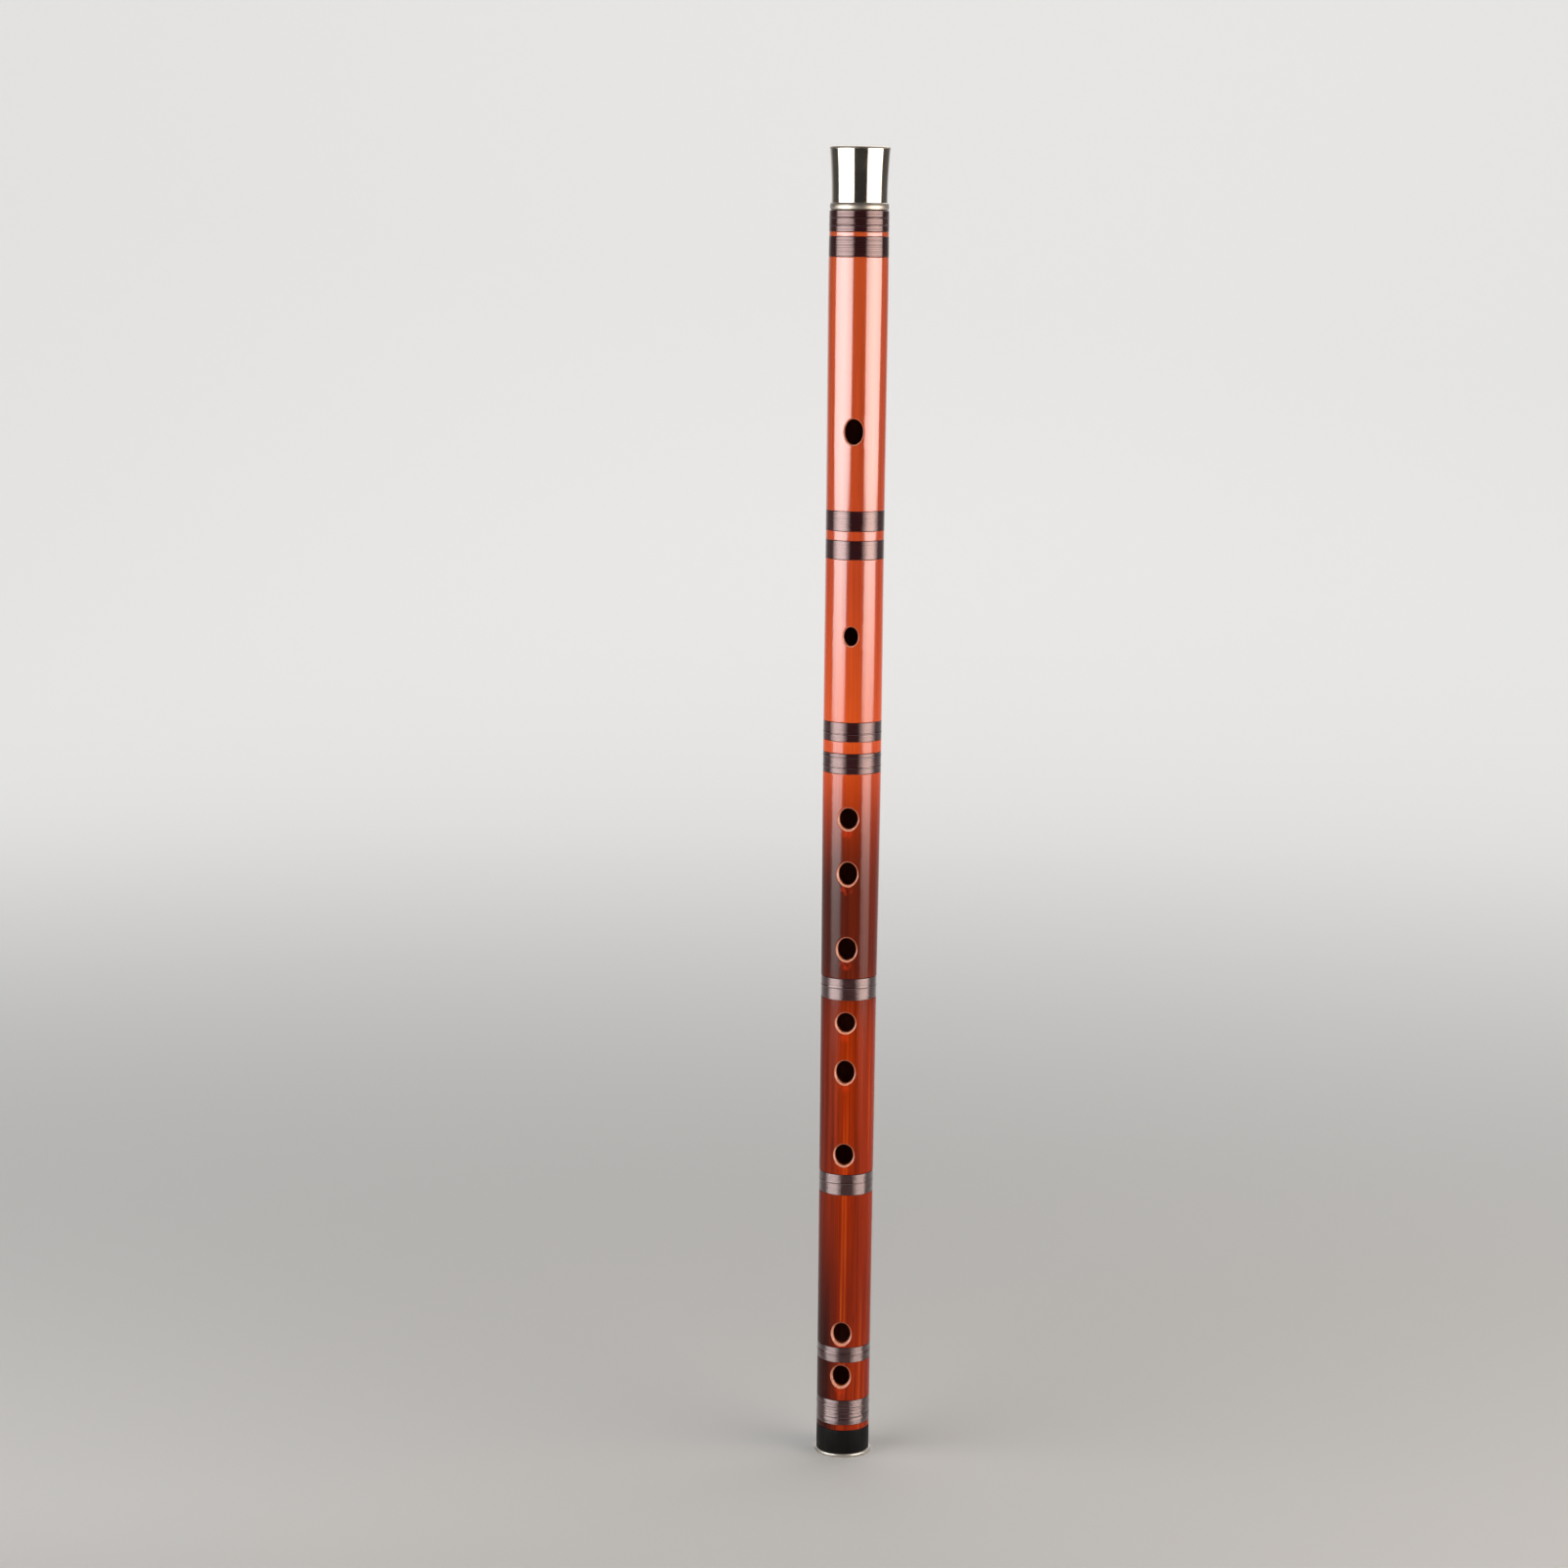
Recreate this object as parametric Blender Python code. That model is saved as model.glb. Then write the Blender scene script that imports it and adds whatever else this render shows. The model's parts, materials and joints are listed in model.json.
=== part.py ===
"""A transverse bamboo flute, standing on its foot.

Frame: metres, +Z runs up the flute from foot to head, the origin is the centre of the foot's
resting face, and the mouth hole and finger holes face -Y. The sizes below are in millimetres.
"""

import math

import bmesh
import bpy

MM = 0.001

# Bamboo: the outer skin is the stalk's own, given as (height, diameter) from foot to head.
GIRTH = (
    (0.0, 25.2),
    (130.0, 25.7),
    (220.0, 26.1),
    (330.0, 27.2),
    (440.0, 27.2),
    (560.0, 28.1),
    (592.0, 27.6),
)
BORE = 19.0

# Clearances: glued and wound pieces, the two edges of a winding, and the pushed-in stopper.
SEAT_GAP = 0.3
EDGE_GAP = 0.25
STOPPER_GAP = 0.25

# Along the flute, from the shoulder of the foot to the shoulder of the head: what comes next,
# the bare bamboo left below it, and its own length.
LAYOUT = (
    ("winding_01", 2.7, 12.3),
    ("front_vent_1", 7.0, 10.2),
    ("winding_02", 1.6, 7.5),
    ("front_vent_2", 1.8, 10.2),
    ("back_vent_1", 8.3, 10.2),
    ("back_vent_2", 10.8, 10.2),
    ("winding_03", 23.5, 10.1),
    ("finger_hole_1", 4.5, 10.2),
    ("finger_hole_2", 29.6, 11.0),
    ("finger_hole_3", 13.7, 9.4),
    ("winding_04", 6.0, 10.4),
    ("finger_hole_4", 8.9, 10.7),
    ("finger_hole_5", 25.2, 10.8),
    ("finger_hole_6", 15.7, 10.0),
    ("winding_05", 16.0, 9.7),
    ("winding_06", 5.5, 9.1),
    ("membrane_hole", 35.8, 8.9),
    ("winding_07", 31.1, 8.8),
    ("winding_08", 4.3, 9.3),
    ("mouth_hole", 30.6, 11.8),
    ("winding_09", 73.5, 9.3),
    ("winding_10", 2.0, 9.7),
)

# Holes: the width across the flute, and the bevel cut round the edge of each kind.
WIDTHS = {"mouth_hole": 8.7, "membrane_hole": 6.8, "finger_hole": 8.7, "front_vent": 8.2, "back_vent": 8.2}
BEVELS = {"mouth_hole": 0.4, "membrane_hole": 0.4, "finger_hole": 1.1, "front_vent": 1.1, "back_vent": 1.1}

# Windings: the groove they lie in, and the turns of thread that climb round over a wound core.
GROOVE_DEPTH = 1.0
WINDING_PROUD = 0.1
TURN_PITCH = 2.4
TURN_RISE = 0.35
TURN_GAP = 0.9
TURN_ROWS = (0.0, 1.0, 1.0)

# Head cap, a flared metal sleeve over a turned-down end of the bamboo.
HEAD_TENON_WALL = 2.1
CAP_HEIGHT = 28.5
CAP_WALL = 1.0
CAP_FLARE = 1.05
CAP_BEAD_HEIGHT = 3.3
CAP_BEAD_RISE = 0.7
CAP_TOP_THICKNESS = 2.0
CAP_RIM_ROUND = 0.8
MOUTH_EASE = 0.4

# Foot: a horn ring over a turned-down end, and a thin metal lip that the flute stands on.
FOOT_TENON_WALL = 1.6
FOOT_RING_HEIGHT = 10.9
FOOT_RING_WALL = 1.2
FOOT_RING_BEVEL = 0.4
FOOT_LIP_HEIGHT = 1.8
FOOT_LIP_RISE = 1.05
FOOT_LIP_ROUND = 0.7

# Stopper, a cork that closes the bore just above the mouth hole.
STOPPER_LENGTH = 20.0
STOPPER_SETBACK = 1.8
STOPPER_BEVEL = 0.8

# Facets round the turned pieces, the holes and each turn of thread.
SIDES = 36
HOLE_POINTS = 24
TURN_POINTS = 24

# Places that follow from the sizes above.
BORE_RADIUS = BORE / 2
RING_FOOT = FOOT_LIP_HEIGHT + SEAT_GAP
RING_HEAD = RING_FOOT + FOOT_RING_HEIGHT
FOOT_SHOULDER = RING_HEAD + SEAT_GAP
HEAD_SHOULDER = FOOT_SHOULDER + sum(land + length for _, land, length in LAYOUT)
CAP_FOOT = HEAD_SHOULDER + SEAT_GAP
LENGTH = CAP_FOOT + CAP_HEIGHT
BAMBOO_HEAD = LENGTH - CAP_TOP_THICKNESS - SEAT_GAP
FOOT_TENON_RADIUS = BORE_RADIUS + FOOT_TENON_WALL
HEAD_TENON_RADIUS = BORE_RADIUS + HEAD_TENON_WALL
FOOT_RING_RADIUS = FOOT_TENON_RADIUS + SEAT_GAP + FOOT_RING_WALL
CAP_WAIST_RADIUS = HEAD_TENON_RADIUS + SEAT_GAP + CAP_WALL


def spans(kind):
    """The (name, low, high) of each feature of one kind, from the foot to the head."""
    found = []
    reached = FOOT_SHOULDER
    for name, land, length in LAYOUT:
        low = reached + land
        reached = low + length
        if name.startswith(kind):
            found.append((name, low, reached))
    return found


def skin_radius(height):
    """The bamboo's outer radius at a height, straight between the girths."""
    for (low, thin), (high, thick) in zip(GIRTH, GIRTH[1:]):
        if height <= high:
            share = (height - low) / (high - low)
            return (thin + share * (thick - thin)) / 2
    return GIRTH[-1][1] / 2


def groove_radius(height):
    """The radius of the floor that a winding lies on."""
    return skin_radius(height) - GROOVE_DEPTH


def principled(name, colour, roughness, metallic=0.0):
    """A Principled BSDF material of one colour."""
    material = bpy.data.materials.new(name)
    material.use_nodes = True
    shader = material.node_tree.nodes["Principled BSDF"]
    shader.inputs["Base Color"].default_value = (*colour, 1.0)
    shader.inputs["Roughness"].default_value = roughness
    shader.inputs["Metallic"].default_value = metallic
    return material


def finish_mesh(bm, name):
    """A mesh in metres, with its faces pointing out, from a bmesh made in millimetres."""
    bmesh.ops.recalc_face_normals(bm, faces=bm.faces)
    bmesh.ops.scale(bm, vec=(MM, MM, MM), verts=bm.verts)
    mesh = bpy.data.meshes.new(name)
    bm.to_mesh(mesh)
    bm.free()
    mesh.shade_smooth()
    mesh.set_sharp_from_angle(angle=math.radians(30))
    return mesh


def placed(name, mesh, material, parent):
    """An object on the flute's axis."""
    mesh.materials.append(bpy.data.materials[material])
    piece = bpy.data.objects.new(name, mesh)
    piece.parent = parent
    bpy.context.scene.collection.objects.link(piece)
    return piece


def turned(name, outline, bored=True):
    """A mesh turned round Z from (radius, height) points: a ring, or a plug with flat ends."""
    bm = bmesh.new()
    points = [bm.verts.new((radius, 0.0, height)) for radius, height in outline]
    edges = [bm.edges.new(pair) for pair in zip(points, points[1:])]
    if bored:
        edges.append(bm.edges.new((points[-1], points[0])))
    bmesh.ops.spin(
        bm,
        geom=points + edges,
        cent=(0, 0, 0),
        axis=(0, 0, 1),
        angle=math.tau,
        steps=SIDES,
        use_merge=True,
    )
    if not bored:
        bmesh.ops.holes_fill(bm, edges=bm.edges, sides=SIDES)
    return finish_mesh(bm, name)


def bamboo_outline():
    """The bamboo's section: the bore, both turned-down ends, the skin and its grooves."""
    outline = [
        (BORE_RADIUS, BAMBOO_HEAD),
        (BORE_RADIUS, RING_FOOT),
        (FOOT_TENON_RADIUS, RING_FOOT),
        (FOOT_TENON_RADIUS, FOOT_SHOULDER),
        (skin_radius(FOOT_SHOULDER), FOOT_SHOULDER),
    ]
    reached = FOOT_SHOULDER
    for _, low, high in spans("winding"):
        outline += [(skin_radius(z), z) for z, _ in GIRTH if reached < z < low]
        outline += [(skin_radius(low), low), (groove_radius(low), low), (groove_radius(high), high)]
        if high < HEAD_SHOULDER:
            outline.append((skin_radius(high), high))
        reached = high
    outline += [(HEAD_TENON_RADIUS, HEAD_SHOULDER), (HEAD_TENON_RADIUS, BAMBOO_HEAD)]
    return outline


def hole_cutter(name, low, high, parent):
    """A cutter for one oval hole: straight walls, then a bevel that follows the round skin."""
    kind = next(kind for kind in WIDTHS if name.startswith(kind))
    side = 1.0 if kind == "back_vent" else -1.0
    bevel = BEVELS[kind]
    middle = (low + high) / 2
    radius = skin_radius(middle)
    reach = bevel + GROOVE_DEPTH
    bm = bmesh.new()
    loops = []
    for depth, grown in ((0.0, 0.0), (radius - bevel, 0.0), (radius + reach, bevel + reach)):
        loop = []
        for step in range(HOLE_POINTS):
            turn = math.tau * step / HOLE_POINTS
            x = (WIDTHS[kind] / 2 + grown) * math.cos(turn)
            z = ((high - low) / 2 + grown) * math.sin(turn)
            y = side * math.sqrt(max(depth**2 - x**2, 0.0))
            loop.append(bm.verts.new((x, y, middle + z)))
        loops.append(loop)
    for inner, outer in zip(loops, loops[1:]):
        for step in range(HOLE_POINTS):
            after = (step + 1) % HOLE_POINTS
            bm.faces.new((inner[step], inner[after], outer[after], outer[step]))
    bm.faces.new(loops[0])
    bm.faces.new(loops[-1])
    cutter = placed(name, finish_mesh(bm, name), "bamboo", parent)
    cutter.hide_render = True
    cutter.display_type = "WIRE"
    return cutter


def bamboo_tube(parent):
    """The stalk: its bore, ends and grooves are turned, then its twelve holes are cut."""
    tube = placed("bamboo_tube", turned("bamboo_tube", bamboo_outline()), "bamboo", parent)
    for kind in WIDTHS:
        for name, low, high in spans(kind):
            cut = tube.modifiers.new(name, "BOOLEAN")
            cut.operation = "DIFFERENCE"
            cut.solver = "EXACT"
            cut.object = hole_cutter(name, low, high, parent)


def head_cap(parent):
    """A metal sleeve: a bead at its foot, a flaring wall, and a flat top with the bore's mouth."""
    inner = HEAD_TENON_RADIUS + SEAT_GAP
    mouth = BORE_RADIUS + MOUTH_EASE
    ceiling = LENGTH - CAP_TOP_THICKNESS
    bead_top = CAP_FOOT + CAP_BEAD_HEIGHT
    flare_top = LENGTH - CAP_RIM_ROUND
    outline = [(mouth, LENGTH), (mouth, ceiling), (inner, ceiling), (inner, CAP_FOOT)]
    for turn in range(-90, 91, 45):
        swell = CAP_BEAD_RISE * math.cos(math.radians(turn))
        climb = (1 + math.sin(math.radians(turn))) / 2
        outline.append((CAP_WAIST_RADIUS + swell, CAP_FOOT + CAP_BEAD_HEIGHT * climb))
    for share in (0.35, 0.65, 0.85, 1.0):
        flare = CAP_FLARE * share**2
        outline.append((CAP_WAIST_RADIUS + flare, bead_top + share * (flare_top - bead_top)))
    outline.append((CAP_WAIST_RADIUS + CAP_FLARE - CAP_RIM_ROUND, LENGTH))
    placed("head_cap", turned("head_cap", outline), "nickel_silver", parent)


def foot_ring(parent):
    """A black horn ring over the bamboo's lower end."""
    inner = FOOT_TENON_RADIUS + SEAT_GAP
    outer = FOOT_RING_RADIUS
    outline = [(inner, RING_HEAD), (inner, RING_FOOT), (outer, RING_FOOT)]
    outline += [(outer, RING_HEAD - FOOT_RING_BEVEL), (outer - FOOT_RING_BEVEL, RING_HEAD)]
    placed("foot_ring", turned("foot_ring", outline), "black_horn", parent)


def foot_lip(parent):
    """A thin metal ring with a rounded edge, which ends the foot and stands on the floor."""
    inner = BORE_RADIUS + MOUTH_EASE
    outer = FOOT_RING_RADIUS + FOOT_LIP_RISE
    ease = FOOT_LIP_ROUND
    outline = [(inner, FOOT_LIP_HEIGHT), (inner, 0.0), (outer - ease, 0.0), (outer, ease)]
    outline += [(outer, FOOT_LIP_HEIGHT - ease), (outer - ease, FOOT_LIP_HEIGHT)]
    placed("foot_lip", turned("foot_lip", outline), "nickel_silver", parent)


def stopper(parent):
    """The cork, with its origin on the bore's axis at the face that closes the air column."""
    radius = BORE_RADIUS - STOPPER_GAP
    eased = radius - STOPPER_BEVEL
    top = STOPPER_LENGTH
    outline = [(eased, 0.0), (radius, STOPPER_BEVEL), (radius, top - STOPPER_BEVEL), (eased, top)]
    placed("stopper", turned("stopper", outline, bored=False), "cork", parent)


def ring_point(radius, step, z):
    """A point on a ring of thread, at one of its steps round the flute."""
    turn = math.tau * step / TURN_POINTS
    return (radius * math.cos(turn), radius * math.sin(turn), z)


def thread_point(step, row, low, high, pitch):
    """A point on the outside of a winding, where each row rises by one pitch in a turn.

    A turn has three rows: the valley below it and the two edges of its crest. Rows stop at the
    band's two edges, where the thread sinks into the core.
    """
    side = TURN_GAP / 2
    turn, place = divmod(row, len(TURN_ROWS))
    offset = (0.0, side, pitch - side)[place]
    z = min(max(low + pitch * (turn + step / TURN_POINTS - 1) + offset, low), high)
    crest = TURN_ROWS[place] * min(1.0, (z - low) / side, (high - z) / side)
    return ring_point(skin_radius(z) + WINDING_PROUD - TURN_RISE * (1 - crest), step, z)


def least_turn_gap(columns, low, high):
    """The least distance between the crests of neighbouring turns, measured on their points."""
    gaps = []
    for column in columns:
        for n in range(len(TURN_ROWS), len(column) - 2, len(TURN_ROWS)):
            below, above = column[n].co, column[n + 2].co
            if low + TURN_GAP / 2 <= below.z and above.z <= high - TURN_GAP / 2:
                gaps.append((above - below).length)
    return min(gaps)


def winding(name, low, high, parent):
    """A wound core with one unbroken turn of thread after another climbing round it.

    The surface is made of columns of points, one for each step round the flute. The last column
    lies on the first one, with each turn one pitch further up, and is merged with it there.
    """
    low, high = low + EDGE_GAP, high - EDGE_GAP
    turns = max(1, round((high - low) / TURN_PITCH))
    pitch = (high - low) / turns
    flats = math.cos(math.pi / TURN_POINTS)
    bm = bmesh.new()
    columns = []
    for step in range(TURN_POINTS + 1):
        points = [ring_point((groove_radius(low) + SEAT_GAP) / flats, step, low)]
        for row in range(len(TURN_ROWS) * (turns + 1) + 1):
            points.append(thread_point(step, row, low, high, pitch))
        points.append(ring_point((groove_radius(high) + SEAT_GAP) / flats, step, high))
        columns.append([bm.verts.new(point) for point in points])
    for here, there in zip(columns, columns[1:]):
        for n in range(len(here)):
            bm.faces.new((here[n - 1], there[n - 1], there[n], here[n]))
    gap = least_turn_gap(columns, low, high)
    bmesh.ops.remove_doubles(bm, verts=bm.verts, dist=TURN_GAP / 100)
    placed(name, finish_mesh(bm, name), "thread", parent)
    return gap


def make_materials():
    """The finishes, with colours as scene-linear values."""
    principled("bamboo", (0.50, 0.075, 0.012), 0.18)
    principled("thread", (0.030, 0.004, 0.006), 0.25)
    principled("nickel_silver", (0.78, 0.76, 0.72), 0.12, metallic=1.0)
    principled("black_horn", (0.008, 0.007, 0.007), 0.15)
    principled("cork", (0.45, 0.28, 0.14), 0.9)


def main():
    """Clears the scene and builds the flute."""
    for leftover in list(bpy.data.objects):
        bpy.data.objects.remove(leftover)
    make_materials()
    flute = bpy.data.objects.new("flute", None)
    slide = bpy.data.objects.new("stopper_slide", None)
    slide.parent = flute
    slide.location = (0.0, 0.0, (spans("mouth_hole")[0][2] + STOPPER_SETBACK) * MM)
    for empty in (flute, slide):
        bpy.context.scene.collection.objects.link(empty)
    bamboo_tube(flute)
    head_cap(flute)
    foot_ring(flute)
    foot_lip(flute)
    stopper(slide)
    gaps = [winding(name, low, high, flute) for name, low, high in spans("winding")]
    print(f"least gap between neighbouring turns of thread: {min(gaps):.2f} mm")


main()
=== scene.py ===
"""The looks of a transverse bamboo flute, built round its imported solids.

The flute's sizes are in millimetres until a mesh is finished, and in metres after that; those of
the camera, the lights and the stage are in metres. Angles round the flute start at the side with
the finger holes (-Y) and run towards +X.
"""

import json
import math
import random

import bmesh
import bpy
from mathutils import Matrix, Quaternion, Vector


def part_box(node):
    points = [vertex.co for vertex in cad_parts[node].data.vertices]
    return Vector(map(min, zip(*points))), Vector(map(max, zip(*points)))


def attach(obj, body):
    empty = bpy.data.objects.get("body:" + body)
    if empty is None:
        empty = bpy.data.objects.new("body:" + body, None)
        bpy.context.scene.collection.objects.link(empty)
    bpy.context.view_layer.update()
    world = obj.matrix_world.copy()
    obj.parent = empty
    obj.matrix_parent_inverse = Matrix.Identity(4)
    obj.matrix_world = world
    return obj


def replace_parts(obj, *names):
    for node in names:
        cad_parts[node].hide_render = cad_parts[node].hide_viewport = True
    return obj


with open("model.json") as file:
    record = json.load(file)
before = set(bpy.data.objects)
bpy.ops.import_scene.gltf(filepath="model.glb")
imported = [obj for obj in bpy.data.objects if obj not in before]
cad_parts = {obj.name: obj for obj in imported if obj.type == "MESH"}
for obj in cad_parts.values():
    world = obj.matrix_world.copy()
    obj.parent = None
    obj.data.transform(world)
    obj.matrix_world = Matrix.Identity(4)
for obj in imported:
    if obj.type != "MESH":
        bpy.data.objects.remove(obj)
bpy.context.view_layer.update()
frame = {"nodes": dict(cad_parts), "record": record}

MM = 0.001

# Sizes shared with the solids
GIRTH = (
    (0.0, 25.2),
    (130.0, 25.7),
    (220.0, 26.1),
    (330.0, 27.2),
    (440.0, 27.2),
    (560.0, 28.1),
    (592.0, 27.6),
)
BORE_RADIUS = 9.5
EDGE_GAP = 0.25
GROOVE_DEPTH = 1.0
HEAD_TENON_RADIUS = 11.6
FOOT_TENON_RADIUS = 11.1
FOOT_SHOULDER = 13.3
HEAD_SHOULDER = 591.2
BAMBOO_FOOT = 2.1
BAMBOO_HEAD = 617.7
LENGTH = 620.0
WIDTHS = {
    "mouth_hole": 8.7,
    "membrane_hole": 6.8,
    "finger_hole": 8.7,
    "front_vent": 8.2,
    "back_vent": 8.2,
}
BEVELS = {
    "mouth_hole": 0.4,
    "membrane_hole": 0.4,
    "finger_hole": 0.75,
    "front_vent": 0.95,
    "back_vent": 0.95,
}
HOLE_LENGTHS = {
    "mouth_hole": 11.8,
    "membrane_hole": 8.9,
    "finger_hole_1": 10.2,
    "finger_hole_2": 11.0,
    "finger_hole_3": 9.4,
    "finger_hole_4": 10.7,
    "finger_hole_5": 10.8,
    "finger_hole_6": 10.0,
    "front_vent_1": 10.2,
    "front_vent_2": 10.2,
    "back_vent_1": 10.2,
    "back_vent_2": 10.2,
}

# Bamboo surface
COLUMNS = 96
PATCH_COLUMNS = 11
PATCH_ROWS = 14
PATCH_MARGIN = 2.0
GROOVE_MARGIN = 0.35
ROW_SPACING = 6.0
BORE_SPACING = 20.0
GIRTH_BLUR = (-12.0, -6.0, 0.0, 6.0, 12.0)
END_EASE = 0.3
HAIR = 0.01
# The skin's eased edge at a groove and at the foot: how far from it, and how far below the skin
GROOVE_EDGE = ((0.01, 0.13), (0.06, 0.04), (0.16, 0.0))
GROOVE_EDGE_DEPTH = 0.30
GROOVE_EDGE_REACH = 0.32
SHOULDER_EDGE = ((0.0, 0.30), (0.07, 0.08), (0.25, 0.0))
SHOULDER_EDGE_REACH = 0.45
# The stalk's own unevenness: height, lobes round it, and its drift and start
LOBES = ((0.070, 2, 95.0, 0.6), (0.045, 3, -70.0, 1.3), (0.018, 5, 31.0, 2.1))
# Rings of points round a hole: their shares of the way from the patch's border to the oval, a
# first guess of the skin's radius, and the wall's last steps above the bore with its eased edge
RING_SHARES = (0.30, 0.56, 0.77, 0.91)
ROUGH_RADIUS = 13.0
WALL_STEPS = (1.2, 0.12)
BORE_EASE = 0.12
# Hand-cut bevels are a little wider at the lower left
BEVEL_LEAN = 0.20
BEVEL_LEAN_SIDE = math.radians(50)

# Thread windings: the turns stand out more towards the foot
THREAD_PITCH = 0.36
THREAD_COLUMNS = 72
THREAD_ROWS = 5
THREAD_RISE_HEAD = 0.014
THREAD_RISE_FOOT = 0.092
THREAD_LEAN = 0.24
THREAD_EDGE = 0.2
THREAD_EDGE_DROP = 0.28
THREAD_END_GAP = 0.05
THREAD_VARIATION = 0.25
THREAD_WAVE = 0.012
RAISED_RISE = 0.15
RAISED_WIDTH = 0.42
# Where a stouter turn shows, as a share of each winding's height
RAISED_TURNS = {
    "winding_01": (0.30, 0.72),
    "winding_02": (0.48,),
    "winding_03": (0.58,),
    "winding_04": (0.56,),
    "winding_05": (0.30, 0.82),
    "winding_06": (0.40,),
    "winding_10": (0.30, 0.66),
}

# Turned pieces
SIDES = 128
CAP_FOOT = 591.28
CAP_WAIST_RADIUS = 12.9
CAP_FLARE = 1.05
CAP_BEAD_HEIGHT = 3.3
CAP_BEAD_RISE = 0.7
CAP_INNER_RADIUS = 11.9
CAP_CEILING = 618.0
CAP_RIM_ROUND = 1.0
CAP_STEPS = 24
CAP_CREASE = 0.06
MOUTH_RADIUS = 9.9
MOUTH_EASE = 0.35
LIP_MOUTH_EASE = 0.25
LIP_EASE = 0.7
RING_INNER_RADIUS = 11.4
RING_RADIUS = 12.6
RING_FOOT = 1.85
RING_HEAD = 13.25
RING_ROUND = 0.4
LIP_RADIUS = 13.65
LIP_HEIGHT = 1.8
STOPPER_RADIUS = 9.42
STOPPER_LOW = 498.5
STOPPER_HIGH = 518.5
STOPPER_SIDES = 64
STOPPER_LAYERS = 24
STOPPER_DENT = 0.05
# The cork's eased end: share of the radius, and how far from the end
STOPPER_EDGE = ((0.3, 0.0), (0.6, 0.0), (0.85, 0.03), (0.95, 0.25), (1.0, 0.9))
# The dullest and the brightest tone of the metal: the lip is rubbed brighter than the cap
CAP_TONES = ((0.46, 0.405, 0.345), (0.54, 0.485, 0.425))
LIP_TONES = ((0.56, 0.525, 0.475), (0.66, 0.625, 0.575))

# Camera: from the photograph's perspective
LENS = 81.0
LENS_REACH = (0.05, 30.0)
CAMERA_AZIMUTH = 5.5
CAMERA_DISTANCE = 1.637
CAMERA_HEIGHT = 0.581
CAMERA_PITCH = 8.89
CAMERA_YAW = 1.11
CAMERA_ROLL = 0.63

# Two tall softboxes in three parts, narrower towards the floor: lowest and highest point, share
# of the radiance, and the angles that the left and the right one reach over
STRIP_DISTANCE = 0.9
STRIP_SPREAD = 122.0
STRIP_TARGET = 0.42
STRIP_SIDES = {"left": (2.3, (1.0, 0.985, 0.97)), "right": (2.25, (1.0, 0.90, 0.82))}
STRIP_PARTS = (
    ("upper", 0.37, 0.68, 1.0, (-88.3, -17.6), (35.0, 103.0)),
    ("middle", 0.215, 0.37, 0.92, (-83.4, -25.8), (42.8, 94.4)),
    ("lower", 0.03, 0.215, 1.5, (-74.1, -30.6), (50.2, 88.1)),
)
TOP_LIGHT_SIZE = 1.4
TOP_LIGHT_PLACE = (0.15, 0.75, 1.5)
TOP_LIGHT_RADIANCE = 1.5
TOP_LIGHT_TARGET = (0, 0, 0.35)
WORLD_RADIANCE = 0.05

# The sheet of paper: its rails to the sides, its floor to the front, and its bend up to the top
SHEET_SIDES = (-14.0, -4.0, -1.0, 0.0, 1.0, 4.0, 14.0)
SHEET_FLOOR = (-14.0, -4.0, -2.0, -0.5, 0.0, 0.5, 1.0)
BEND_START = 1.6
BEND_RADIUS = 0.8
BEND_STEPS = 12
BACKDROP_TOP = 3.2
# The paper's tint, and its tone from the front to the flute, which fades far from it
PAPER_TINT = (1.0, 0.994, 0.975)
PAPER_TONES = (0.22, 0.60)
PAPER_TONE_SPAN = (-0.8, -0.10)
PAPER_FADE_SPAN = (4.0, 10.0)
# What the paper and the room seem to give off, for the lens and for gloss. Behind the flute it
# rises with the distance, inside edges at the left, at the right and in front. Beside the flute
# it rises and falls near it, and further off the room's glow takes over.
GLOW_TINT = (1.0, 0.993, 0.98, 1.0)
BACKDROP_GLOW = 0.70
BEHIND_START = 0.05
BEHIND_SPAN = (0.1, 2.3)
LEFT_SLANT = 0.35
LEFT_EDGE = (-1.0, -0.55)
RIGHT_EDGE = (0.9, 1.5)
FRONT_EDGE = (-0.4, -0.1)
NEAR_RISE = (0.45, 1.25)
NEAR_FALL = (2.0, 3.2)
NEAR_REST = 0.3
FAR_RISE = (1.2, 2.4)
# How pale the far floor and the room look, by the angle from the front: darkest between the
# softboxes, paler behind them, darker again beyond them, and palest behind the flute
ROOM_FRONT = 8.5
SIDE_GLOW = 0.34
ROOM_GLOW = (
    (26, 0.06),
    (46, SIDE_GLOW),
    (86, SIDE_GLOW),
    (102, 0.10),
    (134, 0.10),
    (158, BACKDROP_GLOW),
)

random.seed(4)
NOISE_VALUES = [random.uniform(-1.0, 1.0) for _ in range(4096)]


# Small helpers for shapes


def value_noise(place, row=0):
    """Smooth noise from -1 to 1 along a line; each row gives another line."""
    cell = math.floor(place)
    share = place - cell
    share = share * share * (3 - 2 * share)
    low = NOISE_VALUES[(cell + 517 * row) % len(NOISE_VALUES)]
    high = NOISE_VALUES[(cell + 1 + 517 * row) % len(NOISE_VALUES)]
    return low + (high - low) * share


def straight_girth(height):
    """The stalk's radius at a height, straight between the measured girths."""
    height = max(height, 0.0)
    for (low, thin), (high, thick) in zip(GIRTH, GIRTH[1:]):
        if height <= high:
            return (thin + (height - low) / (high - low) * (thick - thin)) / 2
    return GIRTH[-1][1] / 2


def skin(angle, height):
    """The stalk's outer radius, with its slight natural unevenness."""
    radius = sum(straight_girth(height + shift) for shift in GIRTH_BLUR) / len(GIRTH_BLUR)
    for rise, count, drift, start in LOBES:
        radius += rise * math.sin(count * angle + height / drift + start)
    return radius


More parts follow.
